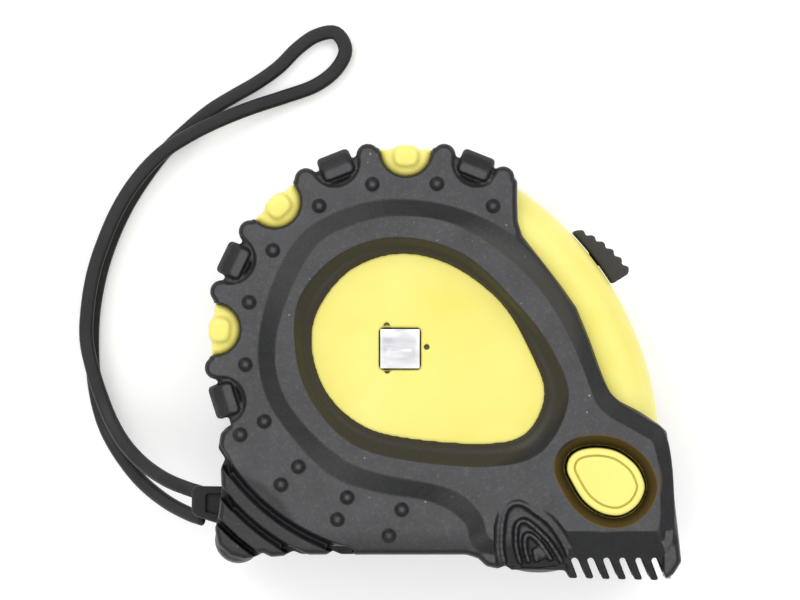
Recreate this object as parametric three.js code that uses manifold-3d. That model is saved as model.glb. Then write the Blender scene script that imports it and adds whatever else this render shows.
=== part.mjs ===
// A 5 m pocket tape measure, lying on its back with its wrist strap beside it.
// Millimetres. X runs towards the mouth, Y towards the crown, Z out of the front face.
// The model is drawn about the arbor's axis and the case's middle plane, then set on the table.
import * as THREE from 'three';
import Module from 'manifold-3d';
import { mergeVertices } from 'three/addons/utils/BufferGeometryUtils.js';

const wasm = await Module();
wasm.setup();

const gap = 0.3;

// Cutting tools run past the case by these, outwards from its crown and its middle plane
const pastCrown = 38;
const pastFace = 20;

// Case, measured from its middle plane outwards
const middleHeight = 22.1;
const innerFace = 11.2;
const windowFloor = 13.0;
const flangeTop = 15.0;
const plateauTop = 16.6;
const bandWidth = 3.4;
const seam = 0.15;

// Crown: the round back of the case
const crown = { x: 1.03, y: 1.03 };
const shellCrown = 31.8;
const armorCrown = 33.9;
const treadCrown = 35.1;
const wall = 1.8;
const knobAngles = [90, 133, 176];
const blockAngles = [68.5, 111.5, 154.5, 197.5];
const lugAngles = [59.5, 78.5, 101.5, 121.5, 144.5, 164.5, 187.5];
const lug = { halfWidth: 1.75, from: 29.8, rise: 0.9 };
const block = { halfWidth: 3, from: 29.5, rise: 0.5 };
const knob = { halfWidth: 2.3, from: 30.8, to: 34.1, rise: 2 };
const pad = { halfWidth: 4.2, from: 29.0, to: 33.2, rise: 1 };
const notch = { halfWidth: 4.6, from: 28.6 };
const knobFoot = 8;
const dotRing = 27.3;
const dotRadius = 1.15;
const dotRise = 0.8;
const looseDots = [[-27.5, -14.8], [-20.5, -23.4], [-17.5, -20.3], [-10.8, -29.4],
  [-9.1, -25.6], [-1.9, -32.2], [0.3, -27.7]];

// Bumper: raised ribs round the strap's corner, as arcs about the crown's centre
const ribRadii = [38.3, 41.9];
const ribWidth = 1;
const ribArc = [216, 236];

// Teeth under the nose
const toothCount = 6;
const toothPitch = 2.78;
const toothSlot = 1.1;
const toothBase = -36.1;
const toothTip = -38.6;
const toothSlant = 1.3;
const firstSlot = 44;

// Crescent: the long arc of bare shell above the mouth
const crescent = { x: -10.9, y: -18.5, radius: 55.8 };
const noseEnd = 45.4;
const shellBottom = -33.2;

// Reel, coil and blade
const bladeWidth = 19;
const bladeThickness = 0.2;
const bladeCamber = 1.0;
const bladeLow = -29.5;
const leadStart = -20;
const leadEnd = 45.4;
const flangeRadius = 28;
const hubOuter = 20.5;
const hubInner = 19.5;
const coilRadius = 27.2;
const reelHalf = 10.9;
const arborSide = 6.8;
const arborHole = 5.1;

// Screws
const screwPlaces = [[-22.5, -25.5], [26.5, 16.5], [38, -12.5], [24, -25]];
const bossRadius = 2.3;
const screwRadius = 1.2;
const headRadius = 1.9;
const headSeat = 2.9;

// Stop button
const button = { x: 35.3, y: -22.7, halfLength: 6.9, halfWidth: 5.7, turn: -0.5 };
const buttonTop = 17.0;

// Lock
const lockPad = { inner: 56.3, outer: 60.1, from: 31.9, to: 43.4, half: 6 };
const lockArm = { inner: 51.9, outer: 53.1, from: 0.6, to: 38.4, half: 4 };

// Belt clip
const clipWidth = 18;
const clipSheet = 1.0;
const clipFold = 8;
const clipLegEnd = -10.5;
const clipFlatEnd = -26;

// Strap
const strapInsert = { from: -33.4, to: -27.2, low: -31.0, high: -24.2, half: 2.8 };
const strapRadius = 1.2;
const strapPin = { x: -29.3, y: -27.6, radius: 1.0, half: 3.0, holeHalf: 5.0 };

const looks = {
  shell: { color: 0xe9dc63, roughness: 0.42, metalness: 0 },
  rubber: { color: 0x515254, roughness: 0.78, metalness: 0 },
  silver: { color: 0xd7d7dc, roughness: 0.35, metalness: 1 },
  steel: { color: 0xa9abad, roughness: 0.3, metalness: 1 },
  darkSteel: { color: 0x3b3c3f, roughness: 0.35, metalness: 1 },
  darkPlastic: { color: 0x37322f, roughness: 0.5, metalness: 0 },
  whitePlastic: { color: 0xdedcd4, roughness: 0.45, metalness: 0 },
  blade: { color: 0xe8c93a, roughness: 0.35, metalness: 0.2 },
  strap: { color: 0x3c3f40, roughness: 0.8, metalness: 0 },
};

const model = new THREE.Group();

// ---- solids -------------------------------------------------------------

function toSolid(geometry) {
  const bare = geometry.clone();
  bare.deleteAttribute('normal');
  bare.deleteAttribute('uv');
  const merged = mergeVertices(bare, 1e-4);
  return new wasm.Manifold(new wasm.Mesh({
    numProp: 3,
    vertProperties: new Float32Array(merged.attributes.position.array),
    triVerts: new Uint32Array(merged.index.array),
  }));
}

function toGeometry(solid) {
  const mesh = solid.getMesh();
  const geometry = new THREE.BufferGeometry();
  geometry.setAttribute('position', new THREE.BufferAttribute(mesh.vertProperties, 3));
  geometry.setIndex(new THREE.BufferAttribute(mesh.triVerts, 1));
  return geometry;
}

const join = (...solids) => solids.flat().reduce((sum, solid) => sum.add(solid));
const cut = (solid, ...tools) => solid.subtract(join(...tools));

// A flat outline pushed from one height to another, on either side of the middle plane.
function plate(shape, low, high, side = 1) {
  const geometry = new THREE.ExtrudeGeometry(shape, { depth: high - low, bevelEnabled: false });
  geometry.translate(0, 0, side > 0 ? low : -high);
  return toSolid(geometry);
}

function box(x0, x1, y0, y1, z0, z1) {
  const geometry = new THREE.BoxGeometry(x1 - x0, y1 - y0, z1 - z0);
  geometry.translate((x0 + x1) / 2, (y0 + y1) / 2, (z0 + z1) / 2);
  return toSolid(geometry);
}

function post(x, y, radius, low, high, side = 1, segments = 20) {
  const geometry = new THREE.CylinderGeometry(radius, radius, high - low, segments);
  geometry.rotateX(Math.PI / 2);
  geometry.translate(x, y, side * (low + high) / 2);
  return toSolid(geometry);
}

// A closed profile of [radius, height] points turned about the Z axis.
function turned(profile, segments = 48) {
  const points = [...profile, profile[0]].map(([r, h]) => new THREE.Vector2(r, h));
  const geometry = new THREE.LatheGeometry(points, segments);
  geometry.rotateX(Math.PI / 2);
  return toSolid(geometry);
}

function addPiece(name, solid, look) {
  const mesh = new THREE.Mesh(toGeometry(solid), new THREE.MeshStandardMaterial(looks[look]));
  mesh.name = name;
  model.add(mesh);
  return mesh;
}

// ---- outlines -----------------------------------------------------------

const degrees = (angle) => angle * Math.PI / 180;
const onArc = (centre, radius, angle) => [
  centre.x + radius * Math.cos(degrees(angle)),
  centre.y + radius * Math.sin(degrees(angle)),
];
const toVector = ([x, y]) => new THREE.Vector2(x, y);

function arcPoints(centre, radius, from, to, steps) {
  return Array.from({ length: steps + 1 }, (_, i) => onArc(centre, radius, from + (to - from) * i / steps));
}

function polygon(points) {
  return new THREE.Shape(points.map(toVector));
}

// A smooth closed outline through a few points.
function smoothOutline(points, steps = 48) {
  const curve = new THREE.CatmullRomCurve3(points.map(([x, y]) => new THREE.Vector3(x, y, 0)), true);
  return curve.getSpacedPoints(steps).slice(0, -1).map((p) => [p.x, p.y]);
}

// Moves a counter-clockwise outline outwards, or inwards when the distance is negative.
function offset(points, distance) {
  const count = points.length;
  return points.map(([x, y], i) => {
    const [px, py] = points[(i + count - 1) % count];
    const [nx, ny] = points[(i + 1) % count];
    const before = new THREE.Vector2(y - py, px - x).normalize();
    const after = new THREE.Vector2(ny - y, x - nx).normalize();
    const mean = before.clone().add(after).normalize();
    const reach = distance / Math.max(mean.dot(before), 0.5);
    return [x + mean.x * reach, y + mean.y * reach];
  });
}

const shellOutline = [
  ...arcPoints(crescent, crescent.radius, 6.5, 51.5, 14),
  ...arcPoints(crown, shellCrown, 57, 205, 36),
  [-28.4, -21],
  [-27.8, -29],
  [-25.8, -32.2],
  [-22.6, shellBottom],
  [42.6, shellBottom],
  [noseEnd, -30.6],
  [noseEnd, -15.4],
];

// The row of slanting teeth under the nose, from the mouth back to the fan.
function toothRow() {
  const points = [];
  for (let i = 0; i < toothCount; i += 1) {
    const right = firstSlot - i * toothPitch;
    const left = right - toothSlot;
    points.push([right + toothSlant, toothTip], [right, toothBase], [left, toothBase],
      [left + toothSlant, toothTip]);
  }
  return points;
}

const armorOutline = [
  [44.7, -13.1],
  [41.3, -10.8],
  [36.3, -7.7],
  [34.4, -3.3],
  [32.7, 1.5],
  [30.4, 7.1],
  [24.6, 15],
  [21.2, 19],
  [20.0, 22.6],
  ...arcPoints(crown, armorCrown, 55.5, 205, 36),
  [-30.4, -16.6],
  [-30.0, -19.2],
  [-30.8, -24],
  [-31.8, -30],
  [-31.3, -34],
  [-28.9, -36],
  [-26.7, -36.5],
  [-11, -35.8],
  [-9, -35.5],
  [12, -35.5],
  [13.8, -36.3],
  [15, -37.7],
  [18, -37.9],
  [19, -38.2],
  [28.6, -38.2],
  ...toothRow().reverse(),
  [47.3, toothTip],
  [48.7, -36.3],
  [48.7, -32.9],
  [48.2, -27.7],
  [46.5, -14.6],
];

const windowOutline = smoothOutline([[0, 16.3], [-8.5, 13.5], [-14, 6.8], [-15.1, 0], [-12.6, -7.5],
  [-6.9, -12.9], [0.5, -15.2], [14, -16.3], [21.5, -14.6], [24.8, -8], [22.5, -0.8], [17.4, 7.8], [9, 14.2]], 40);
const rimOutline = smoothOutline([[0, 19.3], [-9.5, 16.7], [-15.8, 12], [-18.3, 6.7], [-17.8, 0], [-15.9, -7],
  [-11, -14.2], [-4.5, -18], [7, -19.6], [17, -20.5], [24.1, -17.9], [28.6, -11], [27.6, -3], [22.5, 5],
  [13, 15]], 40);
const plateauOutline = smoothOutline([[0, 22.7], [-6.9, 21.5], [-13.8, 18.1], [-18.4, 10.5], [-21.2, 1.5],
  [-20.6, -6], [-17, -12.2], [-10.3, -18.4], [-3.4, -21.3], [8.6, -23.9], [13.8, -28], [16.7, -33.2],
  [28, -32.4], [38, -31.6], [44, -31.2], [45, -24], [43.9, -16.9], [41.3, -14.8], [34.4, -10.5], [31.5, -3.6],
  [28.4, 3.3], [24, 10], [17.2, 16.5], [8.6, 21.5]], 72);

function eggOutline(grow) {
  const points = [];
  for (let i = 0; i < 28; i += 1) {
    const t = 2 * Math.PI * i / 28;
    const x = (button.halfLength + grow) * Math.cos(t);
    const y = (button.halfWidth + grow) * Math.sin(t) * (1 - 0.1 * Math.cos(t));
    const [c, s] = [Math.cos(button.turn), Math.sin(button.turn)];
    points.push([button.x + x * c - y * s, button.y + x * s + y * c]);
  }
  return points;
}

// A bar with a round outer end, lying along a radius of the crown.
function radialBar(angle, halfWidth, from, to) {
  const along = new THREE.Vector2(Math.cos(degrees(angle)), Math.sin(degrees(angle)));
  const across = new THREE.Vector2(-along.y, along.x);
  const at = (r, w) => [crown.x + along.x * r + across.x * w, crown.y + along.y * r + across.y * w];
  const tip = [];
  for (let i = 0; i <= 6; i += 1) {
    const t = Math.PI * i / 6 - Math.PI / 2;
    tip.push(at(to - halfWidth + halfWidth * Math.cos(t), halfWidth * Math.sin(t)));
  }
  return polygon([at(from, -halfWidth), ...tip, at(from, halfWidth)]);
}

// A U-shaped notch with its round end towards the middle of the case.
function radialNotch(angle, halfWidth, bottom, to) {
  const along = new THREE.Vector2(Math.cos(degrees(angle)), Math.sin(degrees(angle)));
  const across = new THREE.Vector2(-along.y, along.x);
  const at = (r, w) => [crown.x + along.x * r + across.x * w, crown.y + along.y * r + across.y * w];
  const end = [];
  for (let i = 0; i <= 8; i += 1) {
    const t = Math.PI * i / 8 - Math.PI / 2;
    end.push(at(bottom + halfWidth - halfWidth * Math.cos(t), -halfWidth * Math.sin(t)));
  }
  return polygon([at(to, halfWidth), ...end, at(to, -halfWidth)]);
}

function bandAbout(centre, inner, outer, from, to, steps) {
  return polygon([...arcPoints(centre, outer, from, to, steps), ...arcPoints(centre, inner, to, from, steps)]);
}

const arcBand = (...sizes) => bandAbout(crescent, ...sizes);

// ---- case ---------------------------------------------------------------

const mouth = () => box(40, 50, -31.2, -26.7, -10.4, 10.4);
const strapNotch = (grow) => box(-40, -26.2 + grow, -31.3 - grow, -23.9 + grow, -3.1 - grow, 3.1 + grow);
const lockSlot = () => plate(arcBand(53.3, 57, 26, 39.6, 10), -2.3, 2.3);

function shell(side) {
  const outer = plate(polygon(shellOutline), seam, windowFloor, side);
  const inside = plate(polygon(offset(shellOutline, -wall)), 0, innerFace, side);
  const crownDisc = turned([[0, -pastFace], [pad.to, -pastFace], [pad.to, pastFace], [0, pastFace]], 64)
    .translate([crown.x, crown.y, 0]);
  const pads = knobAngles.map((angle) =>
    plate(radialNotch(angle, pad.halfWidth, pad.from, pastCrown), knobFoot, windowFloor + pad.rise, side));
  const knobs = knobAngles.map((angle) =>
    plate(radialBar(angle, knob.halfWidth, knob.from, knob.to), knobFoot, windowFloor + knob.rise, side));
  let body = cut(join(outer, join(pads).intersect(crownDisc), knobs), inside);
  const seats = screwPlaces.map(([x, y]) => post(x, y, headSeat, 8, windowFloor - 0.5, side));
  const bosses = screwPlaces.map(([x, y]) => post(x, y, bossRadius, seam, windowFloor - 0.5, side));
  const pinSeat = plate(polygon([[-30, -34], [-22, -34], [-22, -23], [-30, -23]]),
    seam, innerFace + 0.5, side);
  const fittings = join(pinSeat, bosses, side > 0 ? [] : seats).intersect(outer);
  body = body.add(fittings);
  body = cut(body, mouth(), strapNotch(gap), lockSlot(),
    box(-26.2, -25.4, -29.2, -26, -3.4, 3.4));
  if (side > 0) {
    const half = (arborSide + 2 * gap) / 2;
    body = cut(body,
      screwPlaces.map(([x, y]) => post(x, y, screwRadius + gap, 0, 8, side)),
      box(-half, half, -half, half, innerFace - 1, windowFloor + 1),
      plate(polygon(eggOutline(0.35)), innerFace - 1, windowFloor + 1, side));
  } else {
    body = join(body, post(button.x, button.y, 3.2, -2, innerFace + 0.5, side));
    body = cut(body,
      screwPlaces.map(([x, y]) => post(x, y, screwRadius + gap, 0, pastFace, side)),
      screwPlaces.map(([x, y]) => post(x, y, headRadius + gap, 9.5, pastFace, side)),
      post(0, 0, 2.0, 5, pastFace, side));
  }
  return body;
}

function armor(side) {
  const bevelled = new THREE.Shape(plateauOutline.map(toVector));
  bevelled.holes.push(new THREE.Path(rimOutline.map(toVector)));
  const plateau = new THREE.ExtrudeGeometry(bevelled, {
    depth: 0.1, bevelEnabled: true, bevelThickness: plateauTop - flangeTop, bevelSize: 2.6, bevelSegments: 1,
  });
  plateau.translate(0, 0, side > 0 ? flangeTop - 0.1 : -flangeTop);
  const flange = plate(polygon(armorOutline), seam, flangeTop, side);
  const lugs = lugAngles.map((angle) =>
    plate(radialBar(angle, lug.halfWidth, lug.from, treadCrown), seam, flangeTop + lug.rise, side));
  const blocks = blockAngles.map((angle) =>
    plate(radialBar(angle, block.halfWidth, block.from, treadCrown), seam, flangeTop + block.rise, side));
  const ringDots = lugAngles.map((angle) => onArc(crown, dotRing, angle));
  const dots = [...ringDots, ...looseDots].map(([x, y]) =>
    post(x, y, dotRadius, flangeTop - 1, flangeTop + dotRise, side, 10));
  const ribs = ribRadii.map((radius) =>
    plate(bandAbout(crown, radius, radius + ribWidth, ...ribArc, 6), flangeTop - 1, flangeTop + 1, side));
  let body = join(flange, toSolid(plateau), lugs, blocks, dots, ribs);
  const room = plate(polygon(offset(shellOutline, gap)), 0, windowFloor + gap, side);
  body = cut(body, room, plate(polygon(windowOutline), 10, pastFace, side), strapNotch(gap + 0.3),
    box(noseEnd - 0.6, 50, -42, -26.7, -10.8, 10.8),
    knobAngles.map((angle) => plate(radialNotch(angle, notch.halfWidth, notch.from, pastCrown), 0, pastFace, side)));
  if (side > 0) {
    body = cut(body, plate(polygon(eggOutline(0.7)), 10, 20, side));
  } else {
    body = cut(body, screwPlaces.map(([x, y]) => post(x, y, headRadius + gap + 0.4, 9, 20, side)));
  }
  return body;
}

addPiece('front_shell', shell(1), 'shell');
addPiece('rear_shell', shell(-1), 'shell');
addPiece('front_armor', armor(1), 'rubber');
addPiece('rear_armor', armor(-1), 'rubber');

screwPlaces.forEach(([x, y], i) => {
  const screw = join(post(x, y, screwRadius, -6, 9.8, -1, 14), post(x, y, headRadius, 9.8, 11.4, -1, 16));
  const slot = box(x - 1.4, x + 1.4, y - 0.3, y + 0.3, -12, -10.7);
  addPiece(`case_screw_${i + 1}`, cut(screw, slot), 'steel');
});

const arborHalf = arborSide / 2;
addPiece('arbor', cut(
  box(-arborHalf, arborHalf, -arborHalf, arborHalf, -innerFace + gap, windowFloor + 0.4),
  box(-0.4, 0.4, -6, 6, 4, 20),
  post(0, 0, 1.8, 3, 12, -1),
), 'silver');

// ---- belt clip ----------------------------------------------------------

function beltClip() {
  const legTop = -(windowFloor + gap);
  const legMid = legTop - clipSheet / 2;
  const outerMid = -middleHeight + clipSheet / 2;
  const bend = (legMid - outerMid) / 2;
  const centre = { x: clipFold, y: (legMid + outerMid) / 2 };
  const half = clipSheet / 2;
  const tip = { x: clipFlatEnd, y: outerMid + 6 };
  const profile = polygon([
    [clipLegEnd, legMid - half],
    ...arcPoints(centre, bend - half, 90, -90, 10),
    ...arcPoints(tip, 6 - half, -90, -135, 5),
    ...arcPoints(tip, 6 + half, -135, -90, 5),
    ...arcPoints(centre, bend + half, -90, 90, 10),
    [clipLegEnd, legMid + half],
  ]);
  const geometry = new THREE.ExtrudeGeometry(profile, { depth: clipWidth, bevelEnabled: false });
  geometry.rotateX(Math.PI / 2);
  geometry.rotateZ(Math.PI / 2);
  geometry.translate(-clipWidth / 2, 0, 0);
  return cut(toSolid(geometry), post(0, 0, 1.8, 12, 15.5, -1), post(0, 0, 3.2, 18, 25, -1));
}

addPiece('belt_clip', beltClip(), 'darkSteel');
addPiece('clip_screw', cut(
  join(post(0, 0, 1.5, 5, 15, -1, 14), post(0, 0, 2.8, windowFloor + gap * 2 + clipSheet, 16.2, -1, 18)),
  box(-2, 2, -0.35, 0.35, -17, -15.6),
), 'steel');

// ---- reel, spring and blade ---------------------------------------------

addPiece('reel', turned([[arborHole, -reelHalf], [flangeRadius, -reelHalf], [flangeRadius, -reelHalf + 1],
  [hubOuter, -reelHalf + 1], [hubOuter, reelHalf - 1], [flangeRadius, reelHalf - 1], [flangeRadius, reelHalf],
  [hubInner, reelHalf], [hubInner, -reelHalf + 1], [arborHole, -reelHalf + 1]]), 'whitePlastic');
addPiece('spring_cover', turned([[arborHole, reelHalf - 1], [hubInner - gap, reelHalf - 1],
  [hubInner - gap, reelHalf], [arborHole, reelHalf]], 40), 'steel');
addPiece('blade_coil', turned([[hubOuter + gap, -9.5], [coilRadius, -9.5], [coilRadius, 9.5],
  [hubOuter + gap, 9.5]]), 'blade');

function powerSpring() {
  const turns = 6;
  const steps = 120;
  const sheet = 0.5;
  const at = (t, grow) => {
    const radius = 5.6 + grow + (hubInner - gap - 6.4) * t;
    const angle = 2 * Math.PI * turns * t;
    return [radius * Math.cos(angle), radius * Math.sin(angle)];
  };
  const outer = Array.from({ length: steps + 1 }, (_, i) => at(i / steps, sheet));
  const inner = Array.from({ length: steps + 1 }, (_, i) => at(1 - i / steps, 0));
  return plate(polygon([...outer, ...inner]), -8.5, 8.5);
}

addPiece('power_spring', powerSpring(), 'darkSteel');

// The blade's cambered strip between two places along X; low is the middle of its upper face.
function bladeStrip(from, to) {
  const steps = 8;
  const rise = (i) => {
    const z = bladeWidth * (i / steps - 0.5);
    return [z, bladeLow + bladeCamber * (2 * z / bladeWidth) ** 2];
  };
  const upper = Array.from({ length: steps + 1 }, (_, i) => rise(i));
  const lower = upper.map(([z, y]) => [z, y - bladeThickness]).reverse();
  const geometry = new THREE.ExtrudeGeometry(polygon([...upper, ...lower].reverse()), {
    depth: to - from, bevelEnabled: false,
  });
  geometry.rotateY(Math.PI / 2);
  geometry.translate(from, 0, 0);
  return toSolid(geometry);
}

const rivetPlaces = [37.5, 42];
const tongueLow = bladeLow + 0.65;
const tongueHigh = tongueLow + 0.9;

function upright(x, z, radius, low, high, segments = 14) {
  const geometry = new THREE.CylinderGeometry(radius, radius, high - low, segments);
  geometry.translate(x, (low + high) / 2, z);
  return toSolid(geometry);
}

addPiece('blade_lead', cut(bladeStrip(leadStart, leadEnd),
  rivetPlaces.map((x) => upright(x, 0, 1.1, bladeLow - 2, bladeLow + 2))), 'blade');
rivetPlaces.forEach((x, i) => addPiece(`hook_rivet_${i + 1}`, join(
  upright(x, 0, 0.75, bladeLow - 0.9, tongueHigh + 0.7),
  upright(x, 0, 1.5, bladeLow - 1.1, bladeLow - bladeThickness - gap),
  upright(x, 0, 1.5, tongueHigh + gap, tongueHigh + 0.8),
), 'steel'));

const hookFace = leadEnd + 0.5;
addPiece('end_hook', cut(
  join(
    box(hookFace, hookFace + 1, -39.8, tongueHigh, -8.5, 8.5),
    box(34.5, hookFace + 0.5, tongueLow, tongueHigh, -5, 5),
  ),
  rivetPlaces.map((x) => join(upright(x, 0, 1.05, -31, -27), upright(x - 1, 0, 1.05, -31, -27),
    box(x - 1, x, -31, -27, -1.05, 1.05))),
), 'silver');

// ---- lock ---------------------------------------------------------------

addPiece('lock_pad', join(
  plate(arcBand(lockPad.inner, lockPad.outer, lockPad.from, lockPad.to, 8), -lockPad.half, lockPad.half),
  plate(arcBand(lockArm.outer + gap, lockPad.inner + 1, 36, 38.5, 2), -1.9, 1.9),
), 'darkPlastic');
addPiece('lock_tongue', plate(arcBand(lockArm.inner, lockArm.outer, lockArm.from, lockArm.to, 16),
  -lockArm.half, lockArm.half), 'whitePlastic');

// ---- stop button --------------------------------------------------------

const flangeLow = innerFace - 1.2;
const flangeHigh = innerFace - gap;
const springLow = 2.3;
const springHigh = flangeLow - gap;

addPiece('stop_button', join(
  plate(polygon(eggOutline(0)), flangeHigh, buttonTop),
  cut(plate(polygon(eggOutline(1.1)), flangeLow, flangeHigh), box(25, 45, -35, -27.8, 5, 15)),
), 'shell');
addPiece('button_spring', turned([[2.2, springLow], [3.0, springLow], [3.0, springHigh], [2.2, springHigh]], 20)
  .translate([button.x, button.y, 0]), 'steel');

// ---- wrist strap --------------------------------------------------------

addPiece('strap_insert', cut(
  box(strapInsert.from, strapInsert.to, strapInsert.low, strapInsert.high, -strapInsert.half, strapInsert.half),
  post(strapPin.x, strapPin.y, strapPin.radius + gap, -strapPin.holeHalf, strapPin.holeHalf),
), 'darkPlastic');

// The loop leaves the insert, sinks to the table, and comes back under its own first strand.
const strapHeight = strapRadius + 0.05 - middleHeight;
const strapUpper = strapHeight + 2.65;
const strapRoute = [
  [-34.3, -25.2, -1], [-37, -24.4, -2.2], [-40.8, -22.9, -5], [-44.7, -20.4, -9], [-48, -17.1, -12.5],
  [-50.5, -13.2, -15.5], [-52.4, -8.8, -17.5], [-54, -3.9, strapUpper], [-55.1, 1.4, strapUpper],
  [-54.9, 7, strapUpper], [-53.9, 13, strapUpper], [-52.1, 18.6, strapUpper], [-49.6, 24.3, strapUpper],
  [-46.3, 29.5, strapUpper], [-42.1, 34, strapUpper], [-37.1, 37.3, strapUpper], [-31.9, 39.9, strapUpper],
  [-26.2, 42.2, -19.4], [-20.2, 44.2, -20.4], [-15, 46.1, strapHeight], [-11.3, 48.9, strapHeight],
  [-9.6, 52.4, strapHeight], [-11.3, 55.4, strapHeight], [-14.8, 54.9, strapHeight],
  [-18.1, 52.6, strapHeight], [-21.3, 49.4, strapHeight], [-25.2, 46.6, strapHeight],
  [-29.2, 44.3, strapHeight], [-33.4, 41.7, strapHeight], [-37.5, 38.3, strapHeight],
  [-41.4, 34.5, strapHeight], [-45.2, 29.5, strapHeight], [-48.4, 24.3, strapHeight],
  [-51, 18.5, strapHeight], [-52.8, 12.8, strapHeight], [-53.9, 6.8, strapHeight],
  [-54.2, 1.4, strapHeight], [-54, -4.2, strapHeight], [-53.2, -9.5, -20.4], [-51.6, -14.4, -19],
  [-48.9, -19, -16.2], [-45.2, -23.4, -12], [-40.8, -26.8, -7.2], [-36.6, -28.9, -3], [-34.3, -29.6, -1],
];

function strapTube() {
  const path = new THREE.CatmullRomCurve3(strapRoute.map(([x, y, z]) => new THREE.Vector3(x, y, z)));
  const section = polygon(arcPoints({ x: 0, y: 0 }, strapRadius, 0, 315, 7));
  return toSolid(new THREE.ExtrudeGeometry(section, { extrudePath: path, steps: 80, bevelEnabled: false }));
}

addPiece('wrist_strap', strapTube(), 'strap');
addPiece('strap_pin', post(strapPin.x, strapPin.y, strapPin.radius, -strapPin.half, strapPin.half, 1, 14), 'steel');

model.updateMatrixWorld(true);
const bounds = new THREE.Box3();
const cordNames = ['wrist_strap'];
model.children.filter((child) => !cordNames.includes(child.name)).forEach((child) => bounds.expandByObject(child));
const middle = bounds.getCenter(new THREE.Vector3());
model.position.set(-middle.x, -middle.y, -bounds.min.z);

export default model;
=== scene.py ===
from math import cos, pi, radians, sin
import bmesh
import bpy
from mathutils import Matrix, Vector


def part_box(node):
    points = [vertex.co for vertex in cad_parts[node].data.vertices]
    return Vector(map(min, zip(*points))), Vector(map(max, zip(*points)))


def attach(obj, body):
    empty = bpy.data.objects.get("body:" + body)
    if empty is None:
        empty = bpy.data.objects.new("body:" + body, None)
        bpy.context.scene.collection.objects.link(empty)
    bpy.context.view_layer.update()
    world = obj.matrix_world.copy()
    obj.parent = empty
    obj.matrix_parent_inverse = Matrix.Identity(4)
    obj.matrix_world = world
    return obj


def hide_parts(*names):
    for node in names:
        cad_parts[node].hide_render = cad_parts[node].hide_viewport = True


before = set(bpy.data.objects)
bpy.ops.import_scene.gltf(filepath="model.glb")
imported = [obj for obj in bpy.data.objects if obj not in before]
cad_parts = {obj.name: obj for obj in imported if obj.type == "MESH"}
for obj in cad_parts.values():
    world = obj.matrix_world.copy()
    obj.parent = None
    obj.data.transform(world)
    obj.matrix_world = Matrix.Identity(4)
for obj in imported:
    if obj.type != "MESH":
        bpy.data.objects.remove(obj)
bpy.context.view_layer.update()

mm = 0.001

# every outline below is in millimetres about the arbor and the case's middle plane
arborLow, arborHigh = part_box("arbor")
centreX = (arborLow.x + arborHigh.x) / 2
centreY = (arborLow.y + arborHigh.y) / 2
coilLow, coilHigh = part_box("blade_coil")
middleZ = (coilLow.z + coilHigh.z) / 2
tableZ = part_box("belt_clip")[0].z


def place(x, y, z):
    return Vector((centreX + x * mm, centreY + y * mm, middleZ + z * mm))


# ---- camera and light
view = {"distance": 1.59, "wide": 0.1376, "lookX": 0.0, "lookY": 8.4, "front": 16.6}
sensorWidth = 36.0
cameraData = bpy.data.cameras.new("camera")
cameraData.sensor_width = sensorWidth
cameraData.lens = sensorWidth * view["distance"] / view["wide"]
cameraData.clip_end = 20
camera = bpy.data.objects.new("camera", cameraData)
bpy.context.collection.objects.link(camera)
camera.location = place(view["lookX"], view["lookY"], view["front"]) + Vector((0, 0, view["distance"]))
bpy.context.scene.camera = camera


# ---- materials
def newMaterial(name, **fixed):
    material = bpy.data.materials.new(name)
    material.use_nodes = True
    shader = material.node_tree.nodes["Principled BSDF"]
    for socket, value in fixed.items():
        shader.inputs[socket.replace("_", " ")].default_value = value
    return material, material.node_tree, shader


def addNode(tree, kind, **settings):
    node = tree.nodes.new(kind)
    for key, value in settings.items():
        if key in node.inputs:
            node.inputs[key].default_value = value
        else:
            setattr(node, key, value)
    return node


def plug(tree, value, socket):
    # joins another node's output to a socket, or writes a plain number or colour into it
    if isinstance(value, bpy.types.NodeSocket):
        tree.links.new(value, socket)
    elif isinstance(value, tuple):
        socket.default_value = (*value, 1)
    else:
        socket.default_value = value


def maths(tree, operation, first, second=0.0):
    node = addNode(tree, "ShaderNodeMath", operation=operation)
    plug(tree, first, node.inputs[0])
    plug(tree, second, node.inputs[1])
    return node.outputs[0]


def objectPlace(tree):
    return addNode(tree, "ShaderNodeTexCoord").outputs["Object"]


def axes(tree, vector):
    split = addNode(tree, "ShaderNodeSeparateXYZ")
    tree.links.new(vector, split.inputs[0])
    return split.outputs


def noise(tree, scale, detail=3.0, roughness=0.55, stretch=None):
    where = objectPlace(tree)
    if stretch:
        mapping = addNode(tree, "ShaderNodeMapping")
        mapping.inputs["Scale"].default_value = stretch
        tree.links.new(where, mapping.inputs["Vector"])
        where = mapping.outputs["Vector"]
    texture = addNode(tree, "ShaderNodeTexNoise", Scale=scale, Detail=detail, Roughness=roughness)
    tree.links.new(where, texture.inputs["Vector"])
    return texture.outputs["Fac"]


def ramp(tree, source, dark, light):
    # the two colours stand at 0.3 and 0.7, where most of a noise lies
    node = addNode(tree, "ShaderNodeValToRGB")
    for element, position, colour in zip(node.color_ramp.elements, (0.3, 0.7), (dark, light)):
        element.position = position
        element.color = (*colour, 1)
    tree.links.new(source, node.inputs["Fac"])
    return node.outputs["Color"]


def blendColours(tree, amount, first, second):
    node = addNode(tree, "ShaderNodeMix", data_type="RGBA")
    for index, value in ((0, amount), (6, first), (7, second)):
        plug(tree, value, node.inputs[index])
    return node.outputs[2]


def mapRange(tree, source, low, high, toLow, toHigh):
    node = addNode(tree, "ShaderNodeMapRange")
    for index, value in enumerate((low, high, toLow, toHigh), start=1):
        node.inputs[index].default_value = value
    tree.links.new(source, node.inputs[0])
    return node.outputs[0]


def bump(tree, shader, height, strength, distance):
    node = addNode(tree, "ShaderNodeBump", Strength=strength, Distance=distance)
    tree.links.new(height, node.inputs["Height"])
    tree.links.new(node.outputs["Normal"], shader.inputs["Normal"])


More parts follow.
